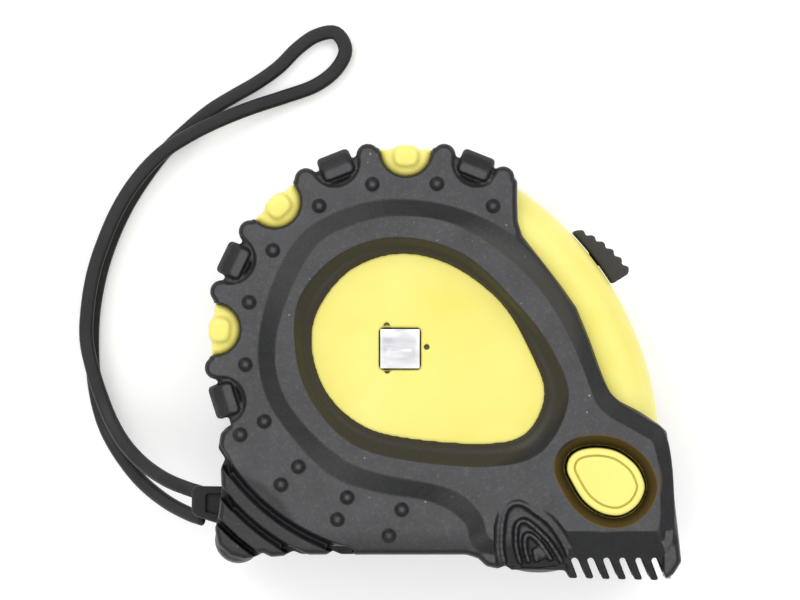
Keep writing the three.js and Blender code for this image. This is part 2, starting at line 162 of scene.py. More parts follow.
def nearSpot(tree, x, y, reachX, reachY):
    # one inside an ellipse that stands through the case, and nothing outside it
    spot = place(x, y, 0)
    mapping = addNode(tree, "ShaderNodeMapping")
    mapping.inputs["Scale"].default_value = (1 / (reachX * mm), 1 / (reachY * mm), 0)
    mapping.inputs["Location"].default_value = (-spot.x / (reachX * mm), -spot.y / (reachY * mm), 0)
    tree.links.new(objectPlace(tree), mapping.inputs["Vector"])
    gap = addNode(tree, "ShaderNodeVectorMath", operation="LENGTH")
    tree.links.new(mapping.outputs["Vector"], gap.inputs[0])
    return mapRange(tree, gap.outputs["Value"], 0.97, 1.04, 1, 0)


# places and sizes are in millimetres, and an ellipse is its middle and its two half widths
rubberLook = {
    # hollows below the face take the dark slope colour as painted shade, and the foot and corner amounts set
    # how much painted shade darkens the foot and the bottom-left corner
    "slopeToLevel": (0.905, 0.978), "hollowToFace": (14.3, 14.75), "footToCase": (-34.8, -30.8),
    "footShade": 0.75, "caseToNose": (11, 15), "corner": (-31.5, -38.5, 15.5, 17.5), "cornerShade": 0.6,
    # the brown of each well is a painted reflection of the yellow it holds
    "windowWell": (5.4, -0.6, 25.2, 21.8), "windowBrown": (0.027, 0.023, 0.015),
    "buttonWell": (35.3, -22.8, 9.6, 8.6), "buttonBrown": (0.088, 0.058, 0.016),
}
# noise scale, detail, where a speck starts and is full, its strength and its grey
dustSpecks = ((1900, 2.0, 0.52, 0.72, 0.2, 0.16), (1300, 1.0, 0.775, 0.81, 0.5, 0.42))


def caseLevel(tree, level):
    # keeps the dust to the outer faces and gives the hollows below them the dark slope colour, painted
    # shade; it also paints shade towards the foot and the bottom-left corner, where the edges round away
    # from the light
    where = axes(tree, objectPlace(tree))
    lift = maths(tree, "ABSOLUTE", maths(tree, "SUBTRACT", where["Z"], middleZ))
    low, high = rubberLook["hollowToFace"]
    level = maths(tree, "MULTIPLY", level, mapRange(tree, lift, low * mm, high * mm, 0, 1))
    low, high = (place(0, y, 0).y for y in rubberLook["footToCase"])
    foot = mapRange(tree, where["Y"], low, high, rubberLook["footShade"], 0)
    low, high = (place(x, 0, 0).x for x in rubberLook["caseToNose"])
    foot = maths(tree, "MULTIPLY", foot, mapRange(tree, where["X"], low, high, 1, 0))
    corner = mapRange(tree, nearSpot(tree, *rubberLook["corner"]), 0, 1, 0, rubberLook["cornerShade"])
    kept = maths(tree, "SUBTRACT", 1.0, maths(tree, "MAXIMUM", foot, corner))
    return maths(tree, "MULTIPLY", level, kept)


def makeRubber(name, flat, slope, dustAndShade=True):
    # level outer faces carry a grey bloom of dust; slopes and hollows get a far darker colour, which is
    # painted shade
    material, tree, shader = newMaterial(name, Specular_IOR_Level=0.3)
    normal = axes(tree, addNode(tree, "ShaderNodeNewGeometry").outputs["Normal"])
    level = mapRange(tree, maths(tree, "ABSOLUTE", normal["Z"]), *rubberLook["slopeToLevel"], 0, 1)
    if dustAndShade:
        level = caseLevel(tree, level)
    flatColour = ramp(tree, noise(tree, 150, 6, 0.7), [c * 0.84 for c in flat], [c * 1.18 for c in flat])
    slopeColour = ramp(tree, noise(tree, 420, 4), [c * 0.7 for c in slope], [c * 1.3 for c in slope])
    if dustAndShade:
        # inside the window and button wells the slopes take a painted reflection of the yellow
        for well in ("window", "button"):
            inside = nearSpot(tree, *rubberLook[well + "Well"])
            slopeColour = blendColours(tree, inside, slopeColour, rubberLook[well + "Brown"])
    # the slope colour is painted shade, and the level colour the rubber's dusty grey
    colour = blendColours(tree, level, slopeColour, flatColour)
    if dustAndShade:
        for scale, detail, low, high, most, grey in dustSpecks:
            grain = mapRange(tree, noise(tree, scale, detail, 0.6), low, high, 0, most)
            onTop = maths(tree, "MULTIPLY", grain, mapRange(tree, level, 0, 1, 0.12, 1))
            colour = blendColours(tree, onTop, colour, (grey, grey, grey * 0.96))
    tree.links.new(colour, shader.inputs["Base Color"])
    tree.links.new(mapRange(tree, level, 0, 1, 0.42, 0.72), shader.inputs["Roughness"])
    bump(tree, shader, noise(tree, 2200, 4.0, 0.65), 0.35, 0.0002)
    return material


def makePlastic(name, light, dark, roughness, grain=0.06, pitShadeSpots=(), grooveShadeTop=None):
    # the pit list holds (place, radius) of painted shade in small pits, and the groove's top is the height
    # below which a groove gets painted shade
    material, tree, shader = newMaterial(name)
    colour = ramp(tree, noise(tree, 55, 4), dark, light)
    # painted shade in each pit
    for spot, radius in pitShadeSpots:
        gap = addNode(tree, "ShaderNodeVectorMath", operation="DISTANCE")
        tree.links.new(objectPlace(tree), gap.inputs[0])
        gap.inputs[1].default_value = spot
        share = mapRange(tree, gap.outputs["Value"], radius * 0.75 * mm, radius * mm, 1, 0)
        colour = blendColours(tree, share, colour, (0.05, 0.045, 0.006))
    # painted shade in the groove, darkening all below its top
    if grooveShadeTop:
        height = axes(tree, objectPlace(tree))["Z"]
        share = mapRange(tree, height, grooveShadeTop - 0.25 * mm, grooveShadeTop, 0.9, 0)
        colour = blendColours(tree, share, colour, (0.11, 0.085, 0.008))
    tree.links.new(colour, shader.inputs["Base Color"])
    tree.links.new(mapRange(tree, noise(tree, 260, 4), 0.3, 0.7, roughness - 0.05, roughness + 0.07),
                   shader.inputs["Roughness"])
    bump(tree, shader, noise(tree, 1500, 2.0), grain, 0.0001)
    return material


def makeMetal(name, light, dark, roughness, stretch, scratch=0.15):
    # scratches run along the axis with the smallest stretch
    material, tree, shader = newMaterial(name, Metallic=1.0)
    lines = noise(tree, 3.0, 4, 0.6, stretch)
    tree.links.new(ramp(tree, lines, dark, light), shader.inputs["Base Color"])
    tree.links.new(mapRange(tree, lines, 0.3, 0.7, roughness - 0.08, roughness + 0.1),
                   shader.inputs["Roughness"])
    bump(tree, shader, lines, scratch, 0.00005)
    return material


# each kind of line is its pitch and how near the middle of the blade it reaches
bladeLines = ((1, 7.4), (5, 6.2), (10, 4.6))


def makeBlade(name, zero):
    # yellow lacquer with plain black lines on both edges, the longer ones at each five and ten millimetres
    material, tree, shader = newMaterial(name, Coat_Weight=0.4, Coat_Roughness=0.15)
    where = axes(tree, objectPlace(tree))
    along = maths(tree, "SUBTRACT", zero, where["X"])
    across = maths(tree, "ABSOLUTE", maths(tree, "SUBTRACT", where["Z"], middleZ))
    lines = None
    for pitch, inner in bladeLines:
        step = maths(tree, "PINGPONG", along, pitch * mm / 2)
        line = mapRange(tree, step, 0.07 * mm, 0.12 * mm, 1, 0)
        edge = mapRange(tree, across, (inner - 0.05) * mm, inner * mm, 0, 1)
        line = maths(tree, "MULTIPLY", line, edge)
        lines = maths(tree, "MAXIMUM", lines, line) if lines else line
    paint = ramp(tree, noise(tree, 60, 4), (0.76, 0.62, 0.10), (0.82, 0.70, 0.15))
    tree.links.new(blendColours(tree, lines, paint, (0.012, 0.012, 0.012)), shader.inputs["Base Color"])
    tree.links.new(mapRange(tree, noise(tree, 300, 4), 0.3, 0.7, 0.3, 0.42), shader.inputs["Roughness"])
    bump(tree, shader, noise(tree, 900, 2.0), 0.08, 0.00005)
    return material


# small pits beside the arbor: x, y and radius
nicks = ((-2.3, 4.0, 0.65), (4.6, 0.3, 0.6), (-2.2, -3.75, 0.65))
# from the tail of the hook to the zero of the blade's lines
hookToZero = 11.4
# the second colour of each rubber is painted shade for its slopes
rubber = makeRubber("mouldedRubber", (0.056, 0.0565, 0.059), (0.0075, 0.008, 0.009))
strapRubber = makeRubber("strapRubber", (0.022, 0.0225, 0.0235), (0.012, 0.0125, 0.013), dustAndShade=False)
# the yellow shell carries painted shade in the pits beside the arbor
yellow = makePlastic("yellowPlastic", (0.78, 0.715, 0.205), (0.72, 0.64, 0.125), 0.38,
                     pitShadeSpots=[(place(x, y, 12.9), radius) for x, y, radius in nicks])
# the button plastic carries painted shade in its groove
paleYellow = makePlastic("paleYellowPlastic", (0.79, 0.72, 0.20), (0.75, 0.66, 0.15), 0.42,
                         grooveShadeTop=place(0, 0, 16.45).z)
darkPlastic = makePlastic("darkPlastic", (0.030, 0.026, 0.023), (0.018, 0.016, 0.014), 0.5, grain=0.3)
# near black: the insert's own black with painted shade of the hole it sits in
blackPlastic = makePlastic("blackPlastic", (0.006, 0.006, 0.007), (0.003, 0.003, 0.003), 0.55)
milkPlastic = makePlastic("milkPlastic", (0.74, 0.72, 0.66), (0.66, 0.64, 0.58), 0.45)
bright = makeMetal("brightMetal", (0.80, 0.80, 0.82), (0.66, 0.66, 0.69), 0.42, (60, 300, 60), 0.08)
plated = makeMetal("platedSteel", (0.62, 0.62, 0.63), (0.42, 0.42, 0.44), 0.3, (500, 500, 500))
blackened = makeMetal("blackenedSteel", (0.085, 0.087, 0.095), (0.035, 0.037, 0.042), 0.38, (900, 40, 900))
hookSteel = makeMetal("hookSteel", (0.50, 0.50, 0.51), (0.36, 0.36, 0.38), 0.4, (60, 60, 900), 0.1)
blade = makeBlade("bladeLacquer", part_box("end_hook")[0].x + hookToZero * mm)
print("materials made")


# ---- outlines
crown = (1.03, 1.03)
crescent = {"centre": (-10.9, -18.5), "radius": 55.8}


def onArc(centre, radius, angle):
    return centre[0] + radius * cos(radians(angle)), centre[1] + radius * sin(radians(angle))


def arcPoints(centre, radius, start, end, steps):
    return [onArc(centre, radius, start + (end - start) * i / steps) for i in range(steps + 1)]


def smoothOutline(points, steps):
    # a closed curve through every point, with the same number of steps between each two
    count = len(points)
    outline = []
    for i in range(count):
        a, b, c, d = (points[(i + k - 1) % count] for k in range(4))
        for step in range(steps):
            t = step / steps
            outline.append(tuple(
                0.5 * (2 * b[k] + (c[k] - a[k]) * t + (2 * a[k] - 5 * b[k] + 4 * c[k] - d[k]) * t * t
                       + (3 * b[k] - a[k] - 3 * c[k] + d[k]) * t ** 3) for k in range(2)))
    return outline


def grow(outline, distance):
    # moves an anticlockwise outline outwards by a distance, or inwards by a negative one
    grown = []
    for i, (x, y) in enumerate(outline):
        px, py = outline[i - 1]
        nx, ny = outline[(i + 1) % len(outline)]
        before = Vector((y - py, px - x)).normalized()
        after = Vector((ny - y, x - nx)).normalized()
        mean = (before + after).normalized()
        reach = distance / max(mean.dot(before), 0.6)
        grown.append((x + mean.x * reach, y + mean.y * reach))
    return grown


def mixOutlines(first, second, share):
    return [(a[0] + (b[0] - a[0]) * share, a[1] + (b[1] - a[1]) * share) for a, b in zip(first, second)]


def radialOutline(angle, profile):
    # profile points are (distance from the crown's centre, distance to the left)
    ax, ay = cos(radians(angle)), sin(radians(angle))
    return [(crown[0] + ax * r - ay * w, crown[1] + ay * r + ax * w) for r, w in profile]


# ---- solids
def looseSelect(*pieces):
    bpy.ops.object.select_all(action="DESELECT")
    for piece in pieces:
        piece.select_set(True)
    bpy.context.view_layer.objects.active = pieces[0]


def ringSolid(name, rings):
    # a closed solid through rings of (outline, height), all with the same number of points
    outline, height = rings[0]
    bpy.ops.object.select_all(action="DESELECT")
    bpy.ops.mesh.primitive_circle_add(vertices=len(outline), radius=1, fill_type="NGON")
    piece = bpy.context.object
    piece.name = name
    ring = [place(x, y, height) for x, y in outline]
    for vertex, spot in zip(piece.data.vertices, ring):
        vertex.co = spot
    bpy.ops.object.mode_set(mode="EDIT")
    bpy.ops.mesh.select_all(action="SELECT")
    for outline, height in rings[1:]:
        bpy.ops.mesh.extrude_region_move(TRANSFORM_OT_translate={"value": (0, 0, 1)})
        mesh = bmesh.from_edit_mesh(piece.data)
        raised = {tuple(round(c, 7) for c in v.co.xy): v for v in mesh.verts if v.select}
        ringNow = [raised[tuple(round(c, 7) for c in spot.xy)] for spot in ring]
        ring = [place(x, y, height) for x, y in outline]
        for vertex, spot in zip(ringNow, ring):
            vertex.co = spot
        bmesh.update_edit_mesh(piece.data)
    bpy.ops.mesh.select_all(action="SELECT")
    bpy.ops.mesh.normals_make_consistent(inside=False)
    # a solid built downwards can still come out inside out
    if bmesh.from_edit_mesh(piece.data).calc_volume(signed=True) < 0:
        bpy.ops.mesh.flip_normals()
    bpy.ops.object.mode_set(mode="OBJECT")
    return piece


def prism(outline, low, high, side=1):
    return ringSolid("prism", [(outline, low * side), (outline, high * side)])


def combine(base, tools, operation):
    # adds each tool to the base or cuts it away
    for tool in tools:
        boolean = base.modifiers.new("combine", "BOOLEAN")
        boolean.object = tool
        boolean.operation = operation
        boolean.solver = "MANIFOLD"
        looseSelect(base)
        bpy.ops.object.modifier_apply(modifier=boolean.name)
        bpy.data.objects.remove(tool)
    return base


def mould(piece, voxel, rounds, budget):
    # softens every edge as a mould does, and thins the mesh to its budget of triangles
    remesh = piece.modifiers.new("remesh", "REMESH")
    remesh.mode = "VOXEL"
    remesh.voxel_size = voxel
    looseSelect(piece)
    bpy.ops.object.modifier_apply(modifier=remesh.name)
    smooth = piece.modifiers.new("smooth", "SMOOTH")
    smooth.factor = 0.5
    smooth.iterations = rounds
    bpy.ops.object.modifier_apply(modifier=smooth.name)
    triangles = 2 * len(piece.data.polygons)
    if triangles > budget:
        thin = piece.modifiers.new("thin", "DECIMATE")
        thin.ratio = budget / triangles
        bpy.ops.object.modifier_apply(modifier=thin.name)
    bpy.ops.object.shade_smooth()
    return piece


def finish(piece, name, material, body, slot, *nodes):
    piece.name = name
    piece.data.name = name
    piece.data.materials.clear()
    piece.data.materials.append(material)
    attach(piece, body)
    if nodes:
        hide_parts(*nodes)
    return piece


# ---- wrist strap
strap = {"width": 2.5, "thick": 1.7, "corner": 0.7, "overTable": 1.25, "overItself": 2.65}
strapLow = (tableZ - middleZ) / mm + strap["overTable"]
strapHigh = strapLow + strap["overItself"]
strapRoute = [
    (-34.3, -25.2, -1), (-37, -24.4, -2.2), (-40.8, -22.9, -5), (-44.7, -20.4, -9), (-48, -17.1, -12.5),
    (-50.5, -13.2, -15.5), (-52.4, -8.8, -17.5), (-54, -3.9, strapHigh), (-55.1, 1.4, strapHigh),
    (-54.9, 7, strapHigh), (-53.9, 13, strapHigh), (-52.1, 18.6, strapHigh), (-49.6, 24.3, strapHigh),
    (-46.3, 29.5, strapHigh), (-42.1, 34, strapHigh), (-37.1, 37.3, strapHigh), (-31.9, 39.9, strapHigh),
    (-26.2, 42.2, -19.4), (-20.2, 44.2, -20.4), (-15, 46.1, strapLow), (-11.3, 48.9, strapLow),
    (-9.6, 52.4, strapLow), (-11.3, 55.4, strapLow), (-14.8, 54.9, strapLow), (-18.1, 52.6, strapLow),
    (-21.3, 49.4, strapLow), (-25.2, 46.6, strapLow), (-29.2, 44.3, strapLow), (-33.4, 41.7, strapLow),
    (-37.5, 38.3, strapLow), (-41.4, 34.5, strapLow), (-45.2, 29.5, strapLow), (-48.4, 24.3, strapLow),
    (-51, 18.5, strapLow), (-52.8, 12.8, strapLow), (-53.9, 6.8, strapLow), (-54.2, 1.4, strapLow),
    (-54, -4.2, strapLow), (-53.2, -9.5, -20.4), (-51.6, -14.4, -19), (-48.9, -19, -16.2),
    (-45.2, -23.4, -12), (-40.8, -26.8, -7.2), (-36.6, -28.9, -3), (-34.3, -29.6, -1),
]


def curvePoints(points, steps):
    # an open curve through every point
    ends = [points[0], *points, points[-1]]
    curve = []
    for i in range(len(points) - 1):
        a, b, c, d = (Vector(ends[i + k]) for k in range(4))
        for step in range(steps):
            t = step / steps
            curve.append(0.5 * (2 * b + (c - a) * t + (2 * a - 5 * b + 4 * c - d) * t * t
                                + (3 * b - a - 3 * c + d) * t ** 3))
    curve.append(Vector(points[-1]))
    return curve


def sweep(name, path, section):
    # pushes a flat section along a path, keeping its width level with the table
    up = Vector((0, 0, 1))
    rings = []
    for i, spot in enumerate(path):
        ahead = (path[min(i + 1, len(path) - 1)] - path[max(i - 1, 0)]).normalized()
        across = up.cross(ahead).normalized()
        rise = ahead.cross(across)
        rings.append([spot + across * (w * mm) + rise * (h * mm) for w, h in section])
    bpy.ops.object.select_all(action="DESELECT")
    bpy.ops.mesh.primitive_circle_add(vertices=len(section), radius=1, fill_type="NGON")
    piece = bpy.context.object
    piece.name = name
    for vertex, spot in zip(piece.data.vertices, rings[0]):
        vertex.co = spot
    bpy.ops.object.mode_set(mode="EDIT")
    bpy.ops.mesh.select_all(action="SELECT")
    for last, ring in zip(rings, rings[1:]):
        bpy.ops.mesh.extrude_region_move()
        mesh = bmesh.from_edit_mesh(piece.data)
        chosen = [v for v in mesh.verts if v.select]
        for spotNow, spotNext in zip(last, ring):
            vertex = min(chosen, key=lambda v: (v.co - spotNow).length_squared)
            chosen.remove(vertex)
            vertex.co = spotNext
        bmesh.update_edit_mesh(piece.data)
    bpy.ops.mesh.select_all(action="SELECT")
    bpy.ops.mesh.normals_make_consistent(inside=False)
    bpy.ops.object.mode_set(mode="OBJECT")
    return piece


def roundedSection(width, thick, corner, steps=4):
    section = []
    for index, (sx, sy) in enumerate(((1, 1), (-1, 1), (-1, -1), (1, -1))):
        for step in range(steps):
            angle = pi / 2 * (index + step / (steps - 1))
            section.append((sx * (width / 2 - corner) + corner * cos(angle),
                            sy * (thick / 2 - corner) + corner * sin(angle)))
    return section


strapPath = [place(*spot) for spot in curvePoints(strapRoute, 5)]
strapSection = roundedSection(strap["width"], strap["thick"], strap["corner"])
strapPiece = sweep("wrist_strap_loop", strapPath, strapSection)
looseSelect(strapPiece)
bpy.ops.object.shade_smooth()
finish(strapPiece, "wrist_strap_loop", strapRubber, "case", "strap_rubber", "wrist_strap")


# ---- strap bridge: a rubber frame on the case, and the black insert that the strap goes through, its near-black colour partly painted shade of the frame's hole
bridge = {"edge": 1.3, "flat": 0.9, "round": 0.3, "voxel": 0.2, "rounds": 3, "budget": 30000}
bridgeOutline = [
    (-30.6, -24.0), (-35.6, -23.9), (-36.2, -24.6), (-36.2, -28.4), (-35.5, -29.2),
    (-31.2, -30.6), (-30.6, -30.2),
]
bridgeHole = [(-29, -25.3), (-33.6, -25.3), (-33.7, -28.4), (-31.4, -28.8), (-29, -28.9)]
insertOutline = [(-27.2, -25.1), (-33.8, -25.1), (-33.9, -28.6), (-31.4, -29.0), (-27.2, -29.1)]
bridgeEdge = grow(bridgeOutline, -bridge["round"])
bridgePiece = ringSolid("strap_frame", [(bridgeEdge, -bridge["edge"]), (bridgeOutline, -bridge["flat"]),
                                        (bridgeOutline, bridge["flat"]), (bridgeEdge, bridge["edge"])])
combine(bridgePiece, [prism(bridgeHole, -3, 3)], "DIFFERENCE")
mould(bridgePiece, bridge["voxel"] * mm, bridge["rounds"], bridge["budget"])
finish(bridgePiece, "strap_frame", strapRubber, "case", "strap_rubber")
insertPiece = ringSolid("insert", [(insertOutline, -1.9), (insertOutline, 0.4),
                                   (grow(insertOutline, -0.2), 0.6)])
finish(insertPiece, "strap_insert_block", blackPlastic, "case", "dark_plastic", "strap_insert")


# ---- yellow shells
# soft is how far the shoulder rolls in, and straight is where it starts
shell = {
    "crown": 31.8, "bottom": -33.2, "nose": 45.4, "left": -28.4, "seam": 0.15, "floor": 13.0, "wall": 1.8,
    "soft": 6.5, "straight": 6.6, "voxel": 0.32, "rounds": 5, "budget": 150000,
}
knobAngles = (90, 133, 176)
# heights and a radius that stand clear of what is cut
pastSeam = -1
pastShell = 14
pastFace = 18
pastCrown = 38
# radius of each screw's hole, half width of the arbor's and the gap round the button
holes = {"screw": 2.2, "clipScrew": 2.0, "rubberScrew": 2.5, "arbor": 3.6, "button": 0.35}


def shellOutline(inset):
    bottom = shell["bottom"] + inset
    nose = shell["nose"] - inset
    left = shell["left"] + inset
    return [
        *arcPoints(crescent["centre"], crescent["radius"] - inset, 6.5, 57.5 - inset * 0.3, 28),
        *arcPoints(crown, shell["crown"] - inset, 63 + inset * 0.2, 205, 56),
        (left, -21), (left + 0.6, -28.5), (left + 2.0, bottom + 2.2), (left + 5, bottom),
        (nose - 3, bottom), (nose, bottom + 2.6), (nose, -15.4),
    ]


def shellRings(margin, side):
    # straight sides, then a long soft shoulder up to the flat face
    steps = 8
    rings = [(shellOutline(-margin), 0.0 if margin else shell["seam"] * side)]
    for i in range(steps + 1):
        turn = pi / 2 * i / steps
        inset = shell["soft"] * (1 - cos(turn))
        height = shell["straight"] + (shell["floor"] + margin - shell["straight"]) * sin(turn)
        rings.append((shellOutline(inset - margin), height * side))
    return rings


def barProfile(halfWidth, start, end, steps=8):
    # a bar along a radius with a round outer end
    turns = [pi * i / steps - pi / 2 for i in range(steps + 1)]
    tip = [(end - halfWidth + halfWidth * cos(turn), halfWidth * sin(turn)) for turn in turns]
    return [(start, -halfWidth), *tip, (start, halfWidth)]


def roundBar(halfWidth, start, end, corner=1.5, steps=4):
    # a short bar along a radius with all four corners round
    corner = min(corner, halfWidth * 0.8, (end - start) * 0.45)
    profile = []
    corners = ((end, halfWidth), (start, halfWidth), (start, -halfWidth), (end, -halfWidth))
    for index, (r, w) in enumerate(corners):
        for step in range(steps + 1):
            turn = radians(90 * index + 90 * step / steps)
            profile.append((r - corner * (1 if r == end else -1) + corner * cos(turn),
                            w - corner * (1 if w > 0 else -1) + corner * sin(turn)))
    return profile


# half width, inner end, outer end and height of each ring of a knob
knobRings = ((2.35, 30.2, 34.1, 7.5), (2.35, 30.2, 34.1, 13.6), (2.2, 30.35, 33.95, 14.3),
             (1.9, 30.7, 33.6, 14.75), (1.3, 31.3, 32.9, 14.95))


def notchProfile(halfWidth, start, end, steps=12):
    # a notch along a radius with a round inner end
    turns = [pi * i / steps - pi / 2 for i in range(steps + 1)]
    bend = [(start + halfWidth - halfWidth * cos(turn), -halfWidth * sin(turn)) for turn in turns]
    return [(end, halfWidth), *bend, (end, -halfWidth)]


screwPlaces = ((-22.5, -25.5), (26.5, 16.5), (38, -12.5), (24, -25))
eggPoints = [
    (29.2, -18.7), (31, -17.4), (34.1, -17), (37.5, -17.7), (40.4, -19.8), (41.8, -22.2), (42.1, -24.3),
    (40.9, -26.8), (38.7, -28.4), (36.5, -28.7), (33.9, -27.9), (31.5, -26), (29.6, -23), (28.7, -20.8),
]
eggOutline = smoothOutline(eggPoints[::-1], 5)


def circleOutline(x, y, radius, steps=24):
    return [onArc((x, y), radius, 360 * i / steps) for i in range(steps)]


def boxOutline(x0, x1, y0, y1):
    return [(x0, y0), (x1, y0), (x1, y1), (x0, y1)]


def squareOutline(half):
    return boxOutline(-half, half, -half, half)


def arcBand(centre, inner, outer, start, end, steps):
    return arcPoints(centre, outer, start, end, steps) + arcPoints(centre, inner, end, start, steps)


# outline and half height of each opening in the side of the case: for the blade, the strap and the lock
sideOpenings = (
    (boxOutline(40, 50, -31.2, -26.7), 10.4),
    (boxOutline(-40, -25.9, -31.6, -23.6), 3.4),
    (arcBand(crescent["centre"], 52.0, 57, 26, 39.6, 16), 2.3),
)


def sideRings(name, side, *rings):
    # a ring solid for the front, or mirrored below the middle plane for the rear
    return ringSolid(name, [(outline, height * side) for outline, height in rings])


def shellPiece(side):
    piece = ringSolid("shell", shellRings(0, side))
    pads = []
    for angle in knobAngles:
        pad = radialOutline(angle, notchProfile(4.6, 28.5, 33.3))
        pads.append(sideRings("pad", side, (pad, shell["seam"]), (pad, 12.9), (grow(pad, -0.4), 13.5),
                              (grow(pad, -1.0), 13.75)))
        pads.append(sideRings("knob", side, *((radialOutline(angle, roundBar(half, start, end)), height)
                                              for half, start, end, height in knobRings)))
    combine(piece, pads, "UNION")
    wall = shellOutline(shell["wall"])
    cuts = [sideRings("inside", side, (wall, pastSeam), (wall, 6.0), (shellOutline(3.4), 9.6),
                      (shellOutline(7.5), 11.2))]
    cuts += [prism(outline, pastSeam, height, side) for outline, height in sideOpenings]
    if side > 0:
        cuts.append(prism(squareOutline(holes["arbor"]), 10, pastShell, side))
        cuts.append(prism(grow(eggOutline, holes["button"]), 7, pastShell, side))
        cuts += [prism(circleOutline(x, y, radius, 8), 12.3, pastShell, side) for x, y, radius in nicks]
    else:
        cuts.append(prism(circleOutline(0, 0, holes["clipScrew"]), 10, pastShell, side))
        cuts += [prism(circleOutline(x, y, holes["screw"]), 9.5, pastShell, side) for x, y in screwPlaces]
    combine(piece, cuts, "DIFFERENCE")
    return mould(piece, shell["voxel"] * mm, shell["rounds"], shell["budget"])


for end, side in (("front", 1), ("rear", -1)):
    finish(shellPiece(side), f"{end}_shell_moulded", yellow, "case", "yellow_shell", f"{end}_shell")
print("shells moulded")


# ---- rubber armour
armor = {
    "crown": 33.9, "tread": 35.0, "seam": 0.15, "flange": 15.0, "plateau": 16.6,
    "voxel": 0.28, "rounds": 3, "budget": 195000,
}
lugAngles = (59.5, 78.5, 101.5, 121.5, 144.5, 164.5, 187.5)
blockAngles = (68.5, 111.5, 154.5, 197.5)
ringDotAngles = (57.5, 79, 102, 122.4, 145.2, 165.5, 187.7, 209)
looseDots = ((-27.5, -14.8), (-20.5, -23.4), (-17.5, -20.3), (-10.8, -29.4), (-9.1, -25.6), (-1.9, -32.2),
             (0.3, -27.7))
armorOutline = [
    (44.7, -13.1), (41.3, -10.8), (37.8, -9.0), (36.3, -7.7), (35.3, -5.6), (34.4, -3.3), (32.7, 1.5),
    (30.4, 7.1), (27.6, 11.1), (24.6, 15), (22.6, 17.5), (21.0, 19.6), (20.3, 22.0), (20.2, 25.6),
    *arcPoints(crown, armor["crown"], 55.5, 205, 64),
    (-30.9, -14.6), (-31.4, -17.2), (-30.2, -19.0), (-30.9, -20.5), (-30.8, -24), (-31.2, -28),
    (-31.9, -31), (-31.4, -33.8), (-29.2, -35.8), (-26.7, -36.4), (-24.9, -35.9), (-23.6, -35.2),
    (-22.2, -35.9), (-20, -35.7), (-18.4, -34.9), (-17, -35.5), (-12.7, -35.5), (-11.6, -34.9),
    (-10.2, -35.5), (11.4, -35.5), (13.4, -36.1), (14.9, -37.5), (16.8, -37.9), (18.2, -37.4),
    (19.2, -38.1), (28.4, -38.2), (29.2, -39.6), (45.6, -40.0), (47.2, -38.8), (48.5, -36.7),
    (48.1, -32.9), (47.5, -27.7), (46.0, -14.3),
]
# each point of the raised plateau has its partner at the foot of the slope round it
plateauPoints = [
    (0, 22.7), (-6.9, 21.5), (-13.8, 18.1), (-18.4, 10.5), (-21.2, 1.5), (-20.6, -6), (-17, -12.2),
    (-10.3, -18.4), (-3.4, -21.3), (8.6, -23.9), (13.8, -28), (16.7, -33.2), (28, -32.4), (38, -31.6),
    (44, -31.2), (44.6, -24), (43.7, -16.9), (41.3, -14.8), (34.4, -10.5), (31.5, -3.6), (28.4, 3.3),
    (24, 10), (17.2, 16.5), (8.6, 21.5),
]
bandPoints = [
    (0, 26.0), (-8.5, 24.7), (-16.8, 20.3), (-21.9, 12.2), (-24.6, 1.5), (-23.7, -7), (-19.8, -14),
    (-12.4, -21.8), (-4.5, -24.8), (5.3, -26.6), (10.9, -30), (13.6, -35.0), (28, -36.5), (38, -36),
    (46.5, -35), (47.2, -24.5), (45.9, -14.9), (42.6, -12.0), (37.0, -8.4), (34.2, -3.4), (31.4, 3.9),
    (26.6, 12.1), (20.0, 19.5), (10.5, 24.3),
]
# the window in the rubber, and the rim of the well that leads down to it
windowPoints = [
    (0, 16.3), (-8.5, 13.5), (-14, 6.8), (-15.1, 0), (-12.6, -7.5), (-6.9, -12.9), (0.5, -15.2),
    (14, -16.3), (21.5, -14.6), (24.8, -8), (22.5, -0.8), (17.4, 7.8), (9, 14.2),
]
rimPoints = [
    (-0.5, 19.2), (-10.4, 16.3), (-17.2, 9.0), (-18.0, 0), (-15.6, -8.2), (-9.4, -15.6), (-0.5, -18.9),
    (14.8, -20.3), (24.3, -17.8), (29.0, -8.8), (26.4, -0.6), (20.6, 7.2), (11.0, 16.2),
]
bandOutline = smoothOutline(bandPoints, 6)
plateauOutline = smoothOutline(plateauPoints, 6)
windowOutline = smoothOutline(windowPoints, 8)
rimOutline = smoothOutline(rimPoints, 8)

# the fan's four nested arches, from the widest to the smallest
fanArches = (
    [(18.0, -36.9), (17.5, -34.1), (17.6, -30.8), (18.1, -28.1), (19.1, -26.8), (20.4, -26.5),
     (21.6, -26.9), (23.1, -28.0), (25.4, -29.7), (27.0, -31.7), (28.4, -34.1), (29.1, -35.9)],
    [(20.8, -37.0), (20.0, -34.1), (20.0, -30.9), (20.6, -29.8), (21.5, -29.6), (22.4, -30.1),
     (23.9, -31.4), (25.5, -33.0), (27.0, -35.2), (27.9, -36.8)],
    [(22.2, -36.8), (21.6, -34.7), (21.5, -32.7), (21.9, -32.0), (22.6, -32.1), (23.7, -33.0),
     (24.9, -34.5), (26.1, -36.4)],
    [(23.6, -36.6), (23.2, -35.4), (23.3, -34.6), (24.0, -35.0), (24.6, -36.2)],
)
# crest is the height of the face at breast, and fall is its slope from there towards the foot;
# middle is how far the middle of a ridge lies below the face
fan = {"crest": 16.6, "fall": 0.24, "breast": -27.5, "width": 0.8, "thick": 1.1, "sink": 0.7,
       "corner": 0.35, "middle": 0.35}


def fanHeight(y):
    # the fan's face leans back towards the foot of the case
    return fan["crest"] - fan["fall"] * (fan["breast"] - y)


def fanRidges(side):
    ridges = []
    for arch in fanArches:
        path = [place(p.x, p.y, (fanHeight(p.y) - fan["middle"]) * side)
                for p in curvePoints([(x, y, 0) for x, y in arch], 5)]
        ridges.append(sweep("ridge", path, roundedSection(fan["width"], fan["thick"], fan["corner"])))
    return ridges


